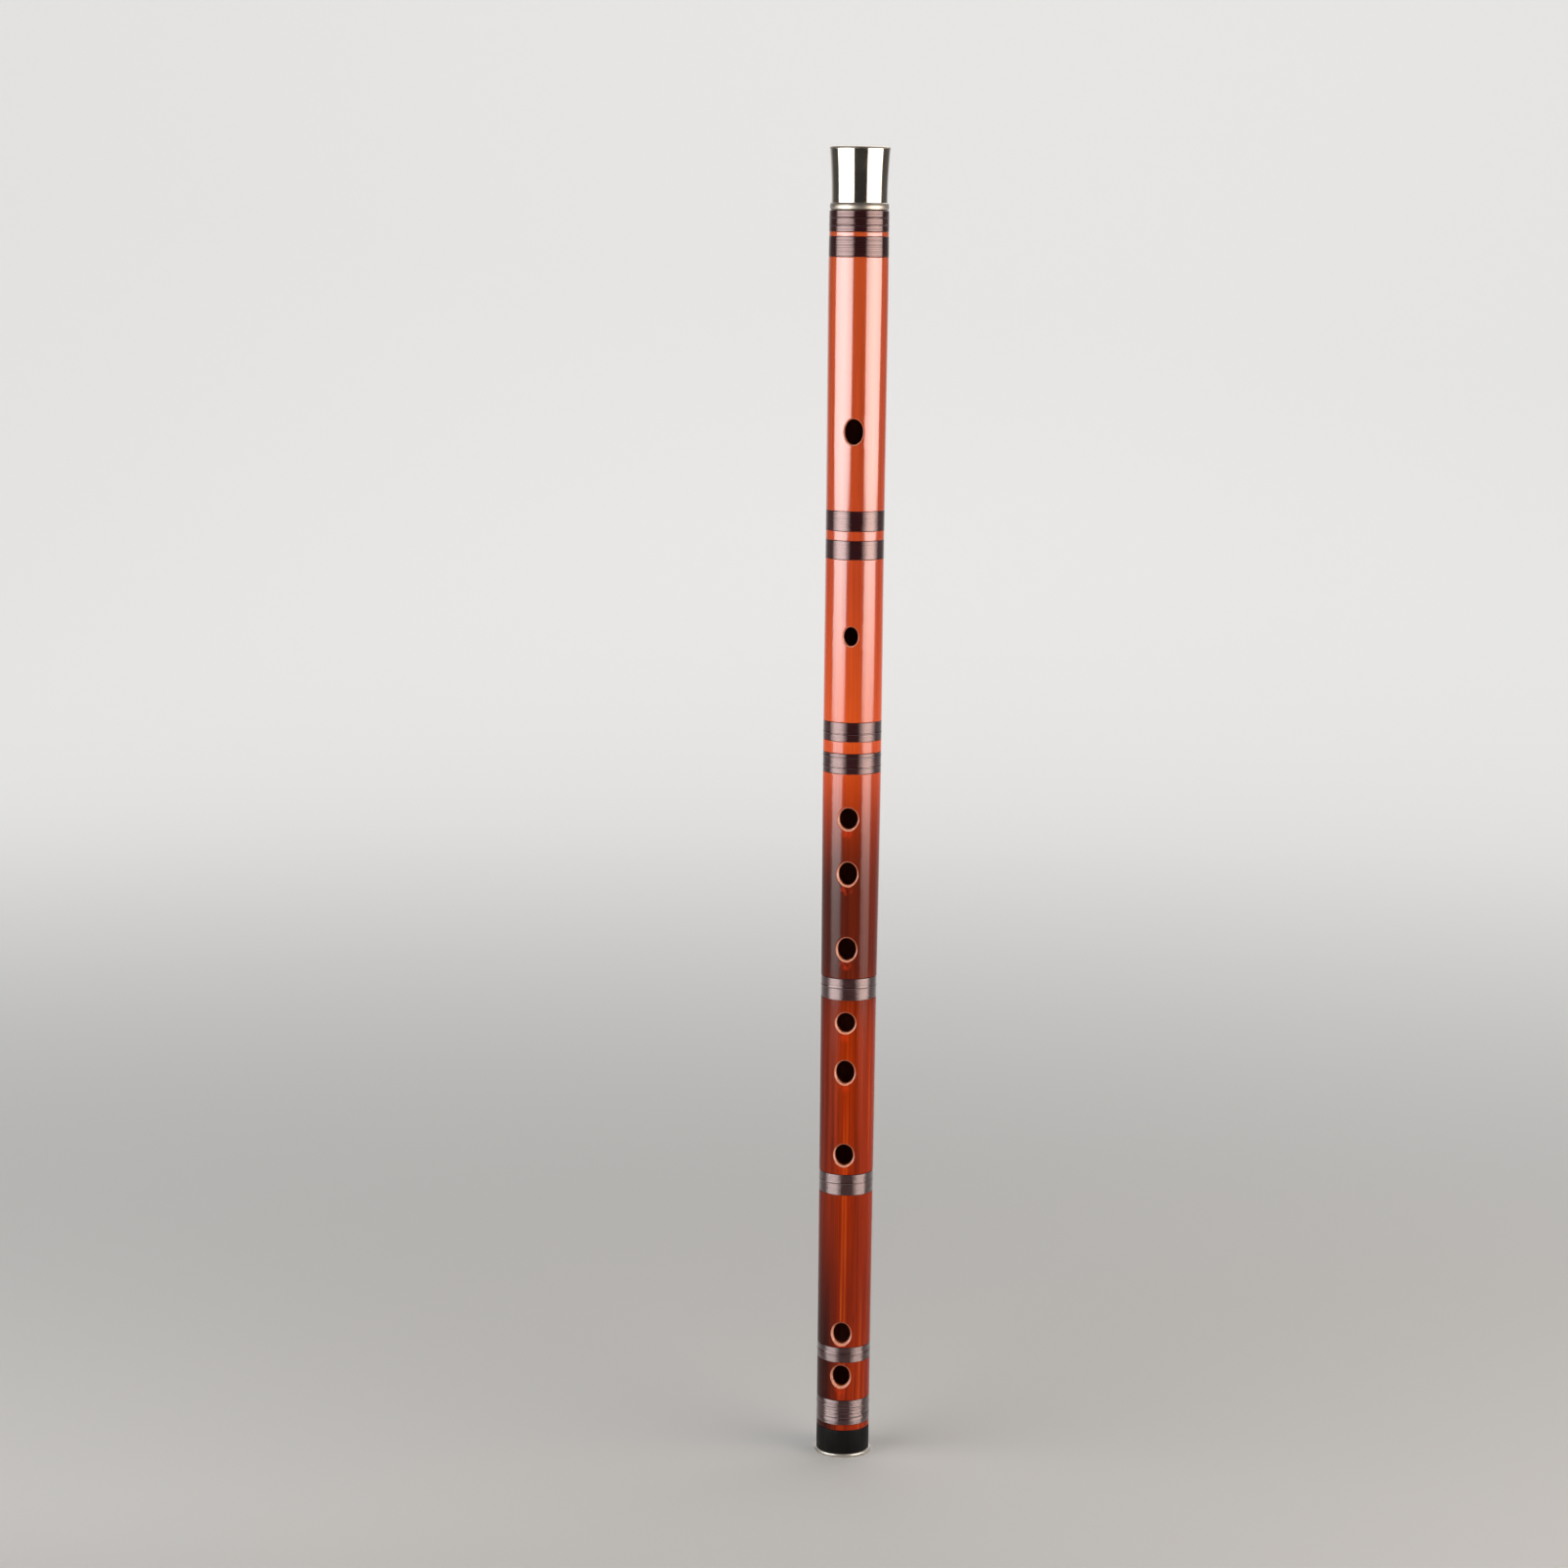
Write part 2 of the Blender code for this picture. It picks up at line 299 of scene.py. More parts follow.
def point(radius, angle, height):
    """A point on the flute from its radius, its angle from the -Y side and its height."""
    return (radius * math.sin(angle), -radius * math.cos(angle), height)


def steps(low, high, spacing):
    """Heights from low to high, evenly spaced by at most the spacing, without the last."""
    count = max(1, math.ceil((high - low) / spacing))
    return [low + (high - low) * n / count for n in range(count)]


def finished(bm, name, body, materials, sharp=40.0):
    """An object from a bmesh in millimetres: outward faces, smooth shading, riding on its body."""
    bmesh.ops.recalc_face_normals(bm, faces=bm.faces)
    bmesh.ops.scale(bm, vec=(MM, MM, MM), verts=bm.verts)
    mesh = bpy.data.meshes.new(name)
    bm.to_mesh(mesh)
    bm.free()
    mesh.shade_smooth()
    mesh.set_sharp_from_angle(angle=math.radians(sharp))
    for material in materials:
        mesh.materials.append(material)
    piece = bpy.data.objects.new(name, mesh)
    bpy.context.scene.collection.objects.link(piece)
    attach(piece, body)
    return piece


def arc(radius, height, across, up, start, end, count):
    """Points on an arc of an outline, from one angle to another in degrees."""
    turns = [math.radians(start + (end - start) * n / count) for n in range(count + 1)]
    return [(radius + across * math.cos(turn), height + up * math.sin(turn)) for turn in turns]


def turned(name, outline, body, material):
    """A closed outline of (radius, height) points, turned round the flute's axis."""
    bm = bmesh.new()
    rings = []
    for radius, height in outline:
        rings.append([bm.verts.new(point(radius, math.tau * n / SIDES, height)) for n in range(SIDES)])
    for ring, after in zip(rings, rings[1:] + rings[:1]):
        for n in range(SIDES):
            m = (n + 1) % SIDES
            bm.faces.new((ring[n], ring[m], after[m], after[n]))
    return finished(bm, name, body, [material])


# Small helpers for materials


def make(tree, kind, inputs=None, **settings):
    """A new node; its inputs are numbers, colours or other nodes' outputs."""
    new = tree.nodes.new(kind)
    for key, value in settings.items():
        setattr(new, key, value)
    for key, value in (inputs or {}).items():
        if isinstance(value, bpy.types.NodeSocket):
            tree.links.new(value, new.inputs[key])
        else:
            new.inputs[key].default_value = value
    return new


def math_node(tree, operation, *values):
    """The result of a Math node."""
    return make(tree, "ShaderNodeMath", dict(enumerate(values)), operation=operation).outputs[0]


def times(tree, first, *others):
    """The product of two or more values."""
    for other in others:
        first = math_node(tree, "MULTIPLY", first, other)
    return first


def blended(tree, share, first, second, mode="MIX"):
    """Two colours mixed by a share."""
    inputs = {0: share, 6: first, 7: second}
    return make(tree, "ShaderNodeMix", inputs, data_type="RGBA", blend_type=mode).outputs[2]


def ranged(tree, value, low, high, start=0.0, end=1.0, smooth=True):
    """A value mapped from one range to another and held at its ends."""
    kind = "SMOOTHSTEP" if smooth else "LINEAR"
    inputs = {0: value, 1: low, 2: high, 3: start, 4: end}
    return make(tree, "ShaderNodeMapRange", inputs, interpolation_type=kind).outputs[0]


def noise(tree, place, scale, detail=2.0, roughness=0.5):
    """Noise with its own scale along each axis, from 0 to 1."""
    stretched = make(tree, "ShaderNodeVectorMath", {0: place, 1: scale}, operation="MULTIPLY").outputs[0]
    inputs = {"Vector": stretched, "Scale": 1.0, "Detail": detail, "Roughness": roughness}
    return make(tree, "ShaderNodeTexNoise", inputs).outputs[0]


def ramp(tree, value, stops):
    """A colour ramp from (place, colour) stops."""
    new = make(tree, "ShaderNodeValToRGB", {0: value})
    band = new.color_ramp
    while len(band.elements) < len(stops):
        band.elements.new(0.5)
    for element, (place, colour) in zip(band.elements, stops):
        element.position = place
        element.color = (*colour, 1.0)
    return new.outputs[0]


def bumped(tree, height, distance, strength=1.0):
    """A normal bumped by a height from 0 to 1 over a distance in metres."""
    inputs = {"Height": height, "Distance": distance, "Strength": strength}
    return make(tree, "ShaderNodeBump", inputs).outputs[0]


def new_material(name):
    """A material with its Principled shader, and the place of each point in the flute's frame."""
    material = bpy.data.materials.new(name)
    material.use_nodes = True
    tree = material.node_tree
    shader = tree.nodes["Principled BSDF"]
    place = make(tree, "ShaderNodeTexCoord").outputs["Object"]
    return material, tree, shader, place


def set_shader(tree, shader, **inputs):
    """Sets or links the shader's sockets; an underscore in a name stands for a space."""
    for key, value in inputs.items():
        socket = shader.inputs[key.replace("_", " ")]
        if isinstance(value, bpy.types.NodeSocket):
            tree.links.new(value, socket)
        else:
            socket.default_value = value


# Materials


def lacquered_bamboo(holes):
    """Orange-red stained bamboo under gloss lacquer: smoky cloud, fibres, flecks, drips at holes, and
    painted shade on the left of the lower half.
    """
    material, tree, shader, place = new_material("lacquered_bamboo")
    split = make(tree, "ShaderNodeSeparateXYZ", {0: place})
    x, y, z = split.outputs
    share = ranged(tree, z, 0.0, LENGTH * MM, smooth=False)
    stops = (
        (0.02, (0.290, 0.021, 0.0008)),
        (0.13, (0.225, 0.016, 0.0007)),
        (0.21, (0.285, 0.021, 0.0007)),
        (0.34, (0.300, 0.025, 0.0014)),
        (0.50, (0.470, 0.044, 0.0045)),
        (0.57, (0.620, 0.080, 0.0110)),
        (0.68, (0.500, 0.054, 0.0080)),
        (0.97, (0.560, 0.078, 0.0110)),
    )
    colour = ramp(tree, share, stops)

    cloud_noise = noise(tree, place, (45.0, 45.0, 14.0), 3.0)
    wander = math_node(tree, "MULTIPLY_ADD", cloud_noise, 0.03, -0.015)
    cloud_z = math_node(tree, "ADD", z, wander)
    rise = ranged(tree, cloud_z, 0.200, 0.245)
    fall = ranged(tree, cloud_z, 0.275, 0.345, 1.0, 0.0)
    side = ranged(tree, x, -0.010, 0.013, 1.0, 0.74)
    front = ranged(tree, y, 0.004, 0.013, 1.0, 0.55)
    cloud = times(tree, rise, fall, side, front, 0.94)
    colour = blended(tree, cloud, colour, (0.036, 0.0070, 0.0048, 1.0))

    # Painted shade: the left side from about 0.09 m to 0.29 m up is darkened towards a deep brown
    rise = ranged(tree, z, 0.090, 0.165)
    fall = ranged(tree, z, 0.200, 0.290, 1.0, 0.0)
    middle = times(tree, rise, fall, ranged(tree, x, -0.002, -0.0125), 0.72)
    colour = blended(tree, middle, colour, (0.070, 0.0070, 0.0030, 1.0))
    # Painted shade: the left side near the foot is darkened almost to black
    foot = times(tree, ranged(tree, z, 0.145, 0.050), ranged(tree, x, 0.0005, -0.0082), 0.94)
    colour = blended(tree, foot, colour, (0.016, 0.0020, 0.0010, 1.0))

    fibres = noise(tree, place, (1100.0, 1100.0, 11.0), 3.0, 0.65)
    broad = noise(tree, place, (260.0, 260.0, 5.0), 2.0)
    streaks = math_node(tree, "ADD", times(tree, fibres, 0.55), times(tree, broad, 0.45))
    depth = ranged(tree, z, 0.180, 0.330, 1.0, 0.40)
    streaks = times(tree, math_node(tree, "SUBTRACT", streaks, 0.5), depth)
    lift = math_node(tree, "MULTIPLY_ADD", streaks, 3.0, 1.0)
    grey = make(tree, "ShaderNodeCombineXYZ", {0: lift, 1: lift, 2: lift}).outputs[0]
    colour = blended(tree, 1.0, colour, grey, "MULTIPLY")
    glow = ranged(tree, streaks, 0.05, 0.22)
    colour = blended(tree, times(tree, glow, 0.35), colour, (0.62, 0.130, 0.012, 1.0))

    flecks = noise(tree, place, (1500.0, 1500.0, 70.0), 1.0)
    flecks = times(tree, ranged(tree, flecks, 0.66, 0.78), depth, 0.6)
    colour = blended(tree, flecks, colour, (0.09, 0.010, 0.003, 1.0))

    pools = None
    for name, _, low, _ in holes:
        if name.startswith(("finger", "front")):
            away_x = times(tree, math_node(tree, "ADD", x, 0.0004), 1 / 0.0036)
            away_z = times(tree, math_node(tree, "SUBTRACT", z, (low - 2.2) * MM), 1 / 0.0032)
            squares = times(tree, away_x, away_x)
            away = math_node(tree, "MULTIPLY_ADD", away_z, away_z, squares)
            spot = ranged(tree, away, 0.0, 1.0, 1.0, 0.0)
            pools = spot if pools is None else math_node(tree, "MAXIMUM", pools, spot)
    uneven = ranged(tree, noise(tree, place, (700.0, 700.0, 420.0)), 0.35, 0.65)
    pools = times(tree, pools, ranged(tree, y, 0.0, -0.004), uneven, 0.5)
    colour = blended(tree, pools, colour, (0.64, 0.040, 0.007, 1.0))

    set_shader(
        tree, shader,
        Base_Color=colour,
        Roughness=ranged(tree, broad, 0.3, 0.7, 0.20, 0.28, smooth=False),
        Specular_IOR_Level=0.10,
        Coat_Weight=ranged(tree, z, 0.26, 0.49, 0.04, 0.96),
        Coat_Roughness=0.125,
        Coat_IOR=2.1,
        Normal=bumped(tree, fibres, 0.00006, 0.5),
    )
    return material


def cut_bamboo():
    """The bevel round a hole: cut fibres, paler than the skin, with painted shade on its upper right, where
    it faces away from the light.
    """
    material, tree, shader, place = new_material("cut_bamboo")
    fibres = noise(tree, place, (1400.0, 1400.0, 90.0), 2.0)
    tone = noise(tree, place, (260.0, 260.0, 200.0), 2.0)
    stops = ((0.25, (0.56, 0.20, 0.115)), (0.60, (0.76, 0.33, 0.210)), (0.85, (0.86, 0.45, 0.300)))
    colour = ramp(tree, fibres, stops)
    # Painted shade: the bevel is darkened where it faces away from up and to the right, so on its upper
    # right part; noise makes the edge uneven
    normal = make(tree, "ShaderNodeTexCoord").outputs["Normal"]
    inputs = {0: normal, 1: (0.70, 0.0, 0.71)}
    facing = make(tree, "ShaderNodeVectorMath", inputs, operation="DOT_PRODUCT").outputs["Value"]
    facing = math_node(tree, "MULTIPLY_ADD", tone, 0.5, facing)
    painted_shade = ranged(tree, facing, 0.0, 0.62, 0.80, 0.0)
    colour = blended(tree, painted_shade, colour, (0.38, 0.085, 0.040, 1.0))
    set_shader(
        tree, shader,
        Base_Color=colour,
        Roughness=0.4,
        Coat_Weight=0.5,
        Coat_Roughness=0.15,
        Normal=bumped(tree, fibres, 0.00008, 0.6),
    )
    return material


def hole_wall():
    """The walls of the holes and the bore: dark red-brown paint over fibres."""
    material, tree, shader, place = new_material("hole_wall")
    fibres = noise(tree, place, (700.0, 700.0, 20.0), 3.0)
    colour = ramp(tree, fibres, ((0.3, (0.240, 0.062, 0.026)), (0.7, (0.340, 0.094, 0.040))))
    set_shader(tree, shader, Base_Color=colour, Roughness=0.55, Normal=bumped(tree, fibres, 0.0001, 0.5))
    return material


def raw_bamboo():
    """Unlacquered bamboo on the turned-down ends, in the grooves and on the end faces."""
    material, tree, shader, place = new_material("raw_bamboo")
    fibres = noise(tree, place, (900.0, 900.0, 18.0), 3.0)
    bundles = noise(tree, place, (1300.0, 1300.0, 40.0), 1.0)
    colour = ramp(tree, fibres, ((0.3, (0.42, 0.22, 0.085)), (0.7, (0.62, 0.38, 0.17))))
    colour = blended(tree, ranged(tree, bundles, 0.55, 0.7, 0.0, 0.6), colour, (0.22, 0.10, 0.04, 1.0))
    set_shader(tree, shader, Base_Color=colour, Roughness=0.6, Normal=bumped(tree, fibres, 0.0001, 0.6))
    return material


def lacquered_thread():
    """Wine-red silk thread, wound tight and lacquered: each turn a little different in tone."""
    material, tree, shader, place = new_material("lacquered_thread")
    split = make(tree, "ShaderNodeSeparateXYZ", {0: place})
    x, y, z = split.outputs
    turns = noise(tree, place, (70.0, 70.0, 1900.0), 2.0)
    patches = noise(tree, place, (130.0, 130.0, 330.0), 2.0)
    stops = (
        (0.25, (0.010, 0.0010, 0.0014)),
        (0.55, (0.024, 0.0022, 0.0032)),
        (0.80, (0.060, 0.0070, 0.0090)),
    )
    colour = ramp(tree, turns, stops)
    colour = blended(tree, ranged(tree, patches, 0.5, 0.75, 0.0, 0.5), colour, (0.020, 0.0035, 0.0085, 1.0))
    angle = math_node(tree, "ARCTAN2", y, x)
    slant = math_node(tree, "MULTIPLY_ADD", z, 12000.0, times(tree, angle, 300.0))
    twist = math_node(tree, "MULTIPLY_ADD", math_node(tree, "SINE", slant), 0.5, 0.5)
    set_shader(
        tree, shader,
        Base_Color=colour,
        Roughness=ranged(tree, turns, 0.3, 0.7, 0.09, 0.15, smooth=False),
        IOR=1.7,
        Specular_IOR_Level=0.8,
        Specular_Tint=(1.0, 0.70, 0.68, 1.0),
        Coat_Weight=ranged(tree, z, 0.38, 0.18, 0.25, 0.9),
        Coat_Roughness=0.10,
        Coat_IOR=1.6,
        Normal=bumped(tree, twist, 0.00001, 0.4),
    )
    return material


def polished_metal(name, tones, scuffs):
    """Polished nickel silver with fine turning marks, light smudges and a few scuffs."""
    material, tree, shader, place = new_material(name)
    marks = noise(tree, place, (25.0, 25.0, 5200.0), 2.0)
    smudges = noise(tree, place, (110.0, 110.0, 90.0), 3.0, 0.6)
    worn = noise(tree, place, (420.0, 420.0, 700.0), 2.0)
    colour = ramp(tree, smudges, ((0.3, tones[0]), (0.7, tones[1])))
    colour = blended(tree, ranged(tree, worn, 0.62, 0.8, 0.0, scuffs), colour, (0.38, 0.34, 0.29, 1.0))
    rough = math_node(tree, "MULTIPLY_ADD", marks, 0.08, 0.06)
    rough = math_node(tree, "MULTIPLY_ADD", ranged(tree, smudges, 0.5, 0.8), 0.07, rough)
    z = make(tree, "ShaderNodeSeparateXYZ", {0: place}).outputs[2]
    bead_top = CAP_FOOT + CAP_BEAD_HEIGHT
    bead = ranged(tree, z, (bead_top + 0.2) * MM, (bead_top - 0.1) * MM)
    rim = ranged(tree, z, (LENGTH - 1.3) * MM, (LENGTH - 0.9) * MM)
    satin = times(tree, math_node(tree, "MAXIMUM", bead, rim), 0.30)
    rough = math_node(tree, "ADD", rough, satin)
    set_shader(
        tree, shader,
        Base_Color=colour,
        Metallic=1.0,
        Roughness=rough,
        Normal=bumped(tree, marks, 0.000004, 0.6),
    )
    return material


def black_horn():
    """Dull black horn with faint paler streaks."""
    material, tree, shader, place = new_material("black_horn_ring")
    streaks = noise(tree, place, (330.0, 330.0, 45.0), 3.0, 0.6)
    grain = noise(tree, place, (1800.0, 1800.0, 260.0), 2.0)
    stops = (
        (0.40, (0.0022, 0.0021, 0.0022)),
        (0.62, (0.0050, 0.0045, 0.0042)),
        (0.80, (0.015, 0.012, 0.010)),
    )
    colour = ramp(tree, streaks, stops)
    set_shader(
        tree, shader,
        Base_Color=colour,
        Roughness=ranged(tree, grain, 0.3, 0.7, 0.42, 0.55, smooth=False),
        Specular_IOR_Level=0.15,
        Normal=bumped(tree, grain, 0.00003, 0.5),
    )
    return material


def natural_cork():
    """Cork: grains of two tones with dark pores."""
    material, tree, shader, place = new_material("natural_cork")
    grains = make(tree, "ShaderNodeTexVoronoi", {"Vector": place, "Scale": 650.0})
    tone = noise(tree, place, (240.0, 240.0, 240.0), 3.0)
    pores = noise(tree, place, (420.0, 420.0, 1300.0), 2.0)
    colour = ramp(tree, tone, ((0.3, (0.36, 0.20, 0.095)), (0.7, (0.60, 0.39, 0.21))))
    speckle = ranged(tree, grains.outputs["Distance"], 0.35, 0.8, 0.0, 0.35)
    colour = blended(tree, speckle, colour, (0.24, 0.12, 0.05, 1.0))
    dark = ranged(tree, pores, 0.62, 0.72)
    colour = blended(tree, times(tree, dark, 0.85), colour, (0.06, 0.028, 0.014, 1.0))
    height = math_node(tree, "SUBTRACT", tone, dark)
    set_shader(tree, shader, Base_Color=colour, Roughness=0.85, Normal=bumped(tree, height, 0.0003, 0.7))
    return material


# The stalk


def hole_list():
    """(name, middle, low, high) of each hole; the middles come from the record's openings."""
    found = []
    for opening in frame["record"]["physics"]["openings"]:
        if opening["name"] in HOLE_LENGTHS:
            low, high = opening["box_m"]
            middle = (low[2] + high[2]) / 2 / MM
            half = HOLE_LENGTHS[opening["name"]] / 2
            found.append((opening["name"], middle, middle - half, middle + half))
    return sorted(found, key=lambda hole: hole[1])


def winding_bands():
    """The (name, low, high) of each winding's groove, from the solids."""
    bands = []
    for name in sorted(node for node in frame["nodes"] if node.startswith("winding")):
        low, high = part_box(name)
        bands.append((name, low.z / MM - EDGE_GAP, high.z / MM + EDGE_GAP))
    return bands


def hole_kind(name):
    """The kind of a hole, which gives its width and bevel."""
    return next(kind for kind in WIDTHS if name.startswith(kind))


def patch_ends(name, low, high, bands):
    """The lowest and highest row of the patch round a hole, kept clear of the grooves."""
    bevel = BEVELS[hole_kind(name)]
    bottom, top = low - bevel - PATCH_MARGIN, high + bevel + PATCH_MARGIN
    for _, band_low, band_high in bands:
        if band_high < low:
            bottom = max(bottom, band_high + GROOVE_MARGIN)
        if band_low > high:
            top = min(top, band_low - GROOVE_MARGIN)
    return bottom, top


def filled_heights(low, high, patches, spacing):
    """Row heights from low to high, with even rows inside each patch."""
    heights = []
    reached = low
    for bottom, top in patches:
        if low < bottom and top < high:
            heights += steps(reached, bottom, spacing)
            heights += steps(bottom, top, (top - bottom) / PATCH_ROWS * 1.000001)
            reached = top
    return heights + steps(reached, high, spacing) + [high]


def stalk_rows(bands, patches):
    """Every row of the stalk's closed section: (inset, radius, height, material of what follows).

    A row with a radius is round; a row without one lies on the skin, sunk by its inset.
    """
    skin_part, wall_part, raw_part = 0, 2, 3
    rows = []
    low, high = BAMBOO_FOOT + END_EASE, BAMBOO_HEAD - END_EASE
    for height in reversed(filled_heights(low, high, patches, BORE_SPACING)):
        rows.append((0.0, BORE_RADIUS, height, wall_part))
    for radius, height in (
        (BORE_RADIUS + END_EASE, BAMBOO_FOOT),
        (FOOT_TENON_RADIUS - END_EASE, BAMBOO_FOOT),
        (FOOT_TENON_RADIUS, BAMBOO_FOOT + END_EASE),
        (FOOT_TENON_RADIUS, FOOT_SHOULDER),
    ):
        rows.append((0.0, radius, height, raw_part))
    rows += [(inset, None, FOOT_SHOULDER + away, skin_part) for away, inset in SHOULDER_EDGE]
    reached = FOOT_SHOULDER + SHOULDER_EDGE_REACH
    for _, low, high in bands:
        for height in filled_heights(reached, low - GROOVE_EDGE_REACH, patches, ROW_SPACING):
            rows.append((0.0, None, height, skin_part))
        rows += [(inset, None, low - away, skin_part) for away, inset in reversed(GROOVE_EDGE)]
        rows += [(GROOVE_EDGE_DEPTH, None, low, raw_part), (GROOVE_DEPTH, None, low + HAIR, raw_part)]
        if high < HEAD_SHOULDER - 0.1:
            rows += [(GROOVE_DEPTH, None, high - HAIR, raw_part), (GROOVE_EDGE_DEPTH, None, high, skin_part)]
            rows += [(inset, None, high + away, skin_part) for away, inset in GROOVE_EDGE]
            reached = high + GROOVE_EDGE_REACH
    rows.append((GROOVE_DEPTH, None, HEAD_SHOULDER, raw_part))
    for radius, height in (
        (HEAD_TENON_RADIUS, HEAD_SHOULDER + 2 * HAIR),
        (HEAD_TENON_RADIUS, BAMBOO_HEAD - END_EASE),
        (HEAD_TENON_RADIUS - END_EASE, BAMBOO_HEAD),
        (BORE_RADIUS + END_EASE, BAMBOO_HEAD),
    ):
        rows.append((0.0, radius, height, raw_part))
    return rows


def border_of(first_row, last_row, middle_column):
    """The grid places round a patch, in order, each with its share across and up the patch."""
    across, up = PATCH_COLUMNS, PATCH_ROWS
    walk = [(n - across, 0) for n in range(2 * across)]
    walk += [(across, n) for n in range(up)]
    walk += [(across - n, up) for n in range(2 * across)]
    walk += [(-across, up - n) for n in range(up)]
    stride = 1 if last_row > first_row else -1
    return [
        (first_row + stride * row, (middle_column + column) % COLUMNS, column / across, 2 * row / up - 1)
        for column, row in walk
    ]


def hole_profile(bevel):
    """Growth and depth below the skin of each ring of a hole's edge, with its material."""
    skin_part, edge_part, wall_part = 0, 1, 2
    return (
        (bevel + 0.12, 0.0, skin_part),
        (bevel + 0.03, 0.02, edge_part),
        (bevel - 0.06, 0.10, edge_part),
        (bevel * 0.62, bevel * 0.40, edge_part),
        (bevel * 0.27, bevel * 0.74, edge_part),
        (0.07, bevel - 0.05, edge_part),
        (0.0, bevel + 0.12, wall_part),
        (0.0, bevel + 0.9, wall_part),
    )


def cut_hole(bm, grid, rows, hole, patch):
    """Fills the patch round one hole: rings on the skin, the bevel, the walls, rings on the bore."""
    name, middle, low, high = hole
    bevel = BEVELS[hole_kind(name)]
    half_width, half_length = WIDTHS[hole_kind(name)] / 2, (high - low) / 2
    behind = name.startswith("back")
    middle_column = COLUMNS // 2 if behind else 0
    turn = math.pi if behind else 0.0
    outer, inner = [], []
    for n, (_, radius, height, _) in enumerate(rows):
        if patch[0] - 0.001 <= height <= patch[1] + 0.001:
            (outer if radius is None else inner).append(n)
    outer_border = border_of(outer[0], outer[-1], middle_column)
    inner_border = border_of(inner[-1], inner[0], middle_column)
    angles = [math.atan2(v, u) for _, _, u, v in outer_border]

    def ring(growth, share, place):
        """A ring of points between the oval (share 1) and the patch's border (share 0)."""
        made = []
        for (_, _, u, v), angle in zip(outer_border, angles):
            grown = growth * (1 - BEVEL_LEAN * math.cos(angle - BEVEL_LEAN_SIDE))
            x = (half_width + grown) * math.cos(angle)
            z = middle + (half_length + grown) * math.sin(angle)
            border_turn = u * PATCH_COLUMNS / COLUMNS * math.tau
            border_z = patch[0] + (v + 1) / 2 * (patch[1] - patch[0])
            height = border_z + (z - border_z) * share
            radius = place(math.asin(max(-1.0, min(1.0, x / ROUGH_RADIUS))) + turn, height)
            oval_turn = math.asin(x / radius)
            across = border_turn + (oval_turn - border_turn) * share
            radius = place(across + turn, height)
            made.append(bm.verts.new(point(radius, across + turn, height)))
        return made

    loops = [([grid[r][c] for r, c, _, _ in outer_border], 0)]
    profile = hole_profile(bevel)
    for share in RING_SHARES:
        loops.append((ring(profile[0][0], share, skin), 0))
    for growth, depth, part in profile:
        loops.append((ring(growth, 1.0, lambda angle, height: skin(angle, height) - depth), part))
    for rise in WALL_STEPS:
        loops.append((ring(0.0, 1.0, lambda angle, height: BORE_RADIUS + rise), 2))
    for share in (1.0, *reversed(RING_SHARES)):
        loops.append((ring(BORE_EASE, share, lambda angle, height: BORE_RADIUS), 2))
    loops.append(([grid[r][c] for r, c, _, _ in inner_border], 2))
    for (here, part), (there, _) in zip(loops, loops[1:]):
        for n in range(len(here)):
            m = (n + 1) % len(here)
            bm.faces.new((here[n], here[m], there[m], there[n])).material_index = part


def stalk(holes, bands, materials):
    """The bamboo stalk: one closed surface with twelve bevelled holes and ten grooves."""
    patches = {hole[0]: patch_ends(hole[0], hole[2], hole[3], bands) for hole in holes}
    rows = stalk_rows(bands, sorted(patches.values()))
    bm = bmesh.new()
    grid = []
    for inset, radius, height, _ in rows:
        ring = []
        for column in range(COLUMNS):
            angle = math.tau * column / COLUMNS
            reach = skin(angle, height) - inset if radius is None else radius
            ring.append(bm.verts.new(point(reach, angle, height)))
        grid.append(ring)
    open_faces = set()
    for name, (bottom, top) in patches.items():
        middle = COLUMNS // 2 if name.startswith("back") else 0
        for n, row in enumerate(rows):
            after = rows[(n + 1) % len(rows)]
            heights = sorted((row[2], after[2]))
            same_side = (row[1] is None) == (after[1] is None)
            if same_side and bottom - 0.001 <= heights[0] and heights[1] <= top + 0.001:
                for column in range(-PATCH_COLUMNS, PATCH_COLUMNS):
                    open_faces.add((n, (middle + column) % COLUMNS))
    for n, row in enumerate(rows):
        after = (n + 1) % len(rows)
        for column in range(COLUMNS):
            if (n, column) not in open_faces:
                beside = (column + 1) % COLUMNS
                corners = (grid[n][column], grid[n][beside], grid[after][beside], grid[after][column])
                bm.faces.new(corners).material_index = row[3]
    for hole in holes:
        cut_hole(bm, grid, rows, hole, patches[hole[0]])
    bmesh.ops.delete(bm, geom=[v for v in bm.verts if not v.link_faces], context="VERTS")
    piece = finished(bm, "bamboo_stalk", "flute", materials, sharp=38.0)
    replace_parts(piece, "bamboo_tube")


# Windings


def thread_radius(name, angle, height, row, number, low, high):
    """The outside of a winding: turns of thread that lean a little upwards, each one different."""
    depth = 1 - height / LENGTH
    place = row / THREAD_ROWS % 1.0
    crest = 0.5 - THREAD_LEAN * depth
    ridge = math.sin(math.pi / 2 * (place / crest if place < crest else 1 + (place - crest) / (1 - crest)))
    edge = min(1.0, (height - low) / THREAD_EDGE, (high - height) / THREAD_EDGE)
    edge = math.sqrt(max(0.0, 1 - (1 - edge) ** 2))
    radius = skin(angle, height) - THREAD_EDGE_DROP * (1 - edge)
    line = int(name[-2:])
    rise = THREAD_RISE_HEAD + (THREAD_RISE_FOOT - THREAD_RISE_HEAD) * depth**1.5
    radius += rise * ridge * edge * (1 + THREAD_VARIATION * value_noise(number * 2.3, line))
    radius += THREAD_WAVE * value_noise(number * 1.3, line + 20) * edge
    for share in RAISED_TURNS.get(name, ()):
        away = (height - (low + share * (high - low))) / RAISED_WIDTH
        if abs(away) < 1:
            radius += RAISED_RISE * (1 - away * away) ** 1.5
    return radius


